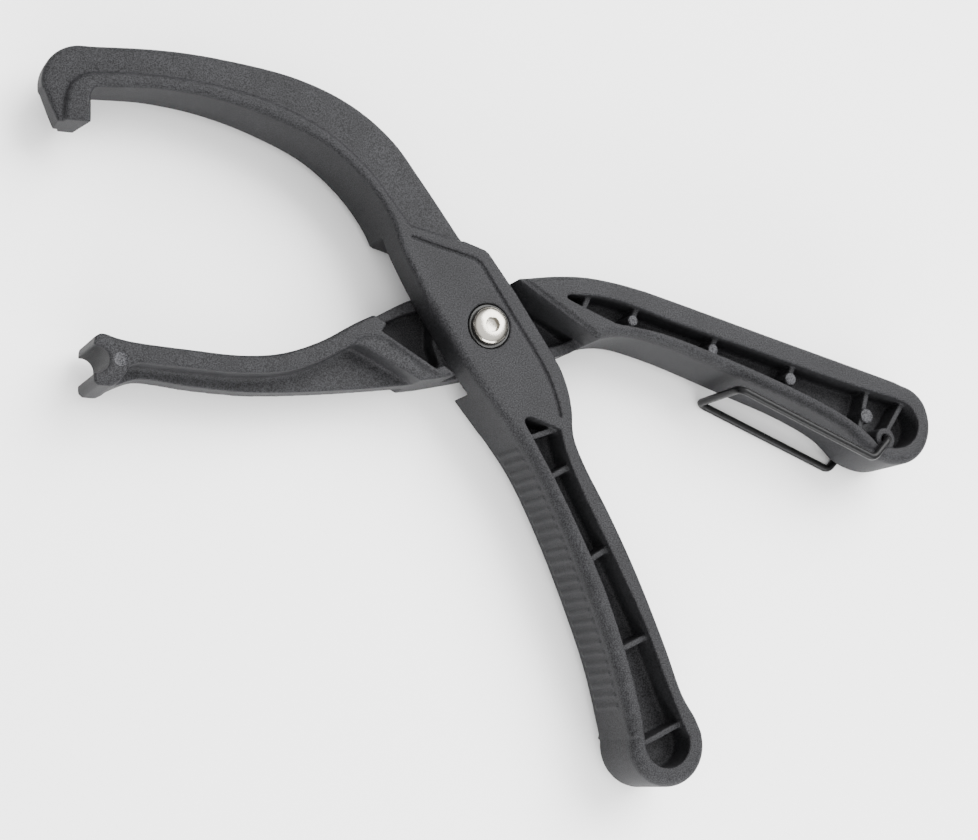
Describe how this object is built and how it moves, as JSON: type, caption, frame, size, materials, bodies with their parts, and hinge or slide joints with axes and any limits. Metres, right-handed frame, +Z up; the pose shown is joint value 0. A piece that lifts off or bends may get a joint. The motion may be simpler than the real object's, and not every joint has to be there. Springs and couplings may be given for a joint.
{
  "type": "tyre bead pliers",
  "caption": "Large moulded lever pliers with a hook jaw and a forked jaw on one bolt, ribbed handles and a wire bail that locks them.",
  "frame": {"origin": "centre of the bounding box's bottom face, with the tool lying on its back", "axes": "+X from the jaws to the handles, +Z up along the pivot bolt's axis, towards its head"},
  "size_m": [0.3496, 0.257, 0.0346],
  "materials": {
    "glass_filled_nylon": "fine moulded grain",
    "bright_bolt_steel": "satin",
    "black_washer_steel": "black oxide",
    "plated_steel": "zinc plated",
    "nut_nylon": "plain",
    "black_wire": "glossy black coating"
  },
  "bodies": {
    "fork_lever": {"fork_lever": "glass_filled_nylon", "pivot_bolt": "bright_bolt_steel", "head_washer": "black_washer_steel", "pivot_sleeve": "plated_steel", "lock_nut": "plated_steel", "lock_nut_insert": "nut_nylon"},
    "hook_lever": {"hook_lever": "glass_filled_nylon"},
    "wire_bail": {"wire_bail": "black_wire"}
  },
  "joints": [
    {"name": "lever_pivot", "type": "hinge", "parent": "fork_lever", "child": "hook_lever", "pos_m": [-0.0169, 0.03654, 0.01728], "axis": [0, 0, 1], "range_deg": [-18, 36]},
    {"name": "bail_swing", "type": "hinge", "parent": "fork_lever", "child": "wire_bail", "pos_m": [0.1528, 0.00144, 0.01728], "axis": [0, 0, 1], "range_deg": [-3, 330]}
  ]
}
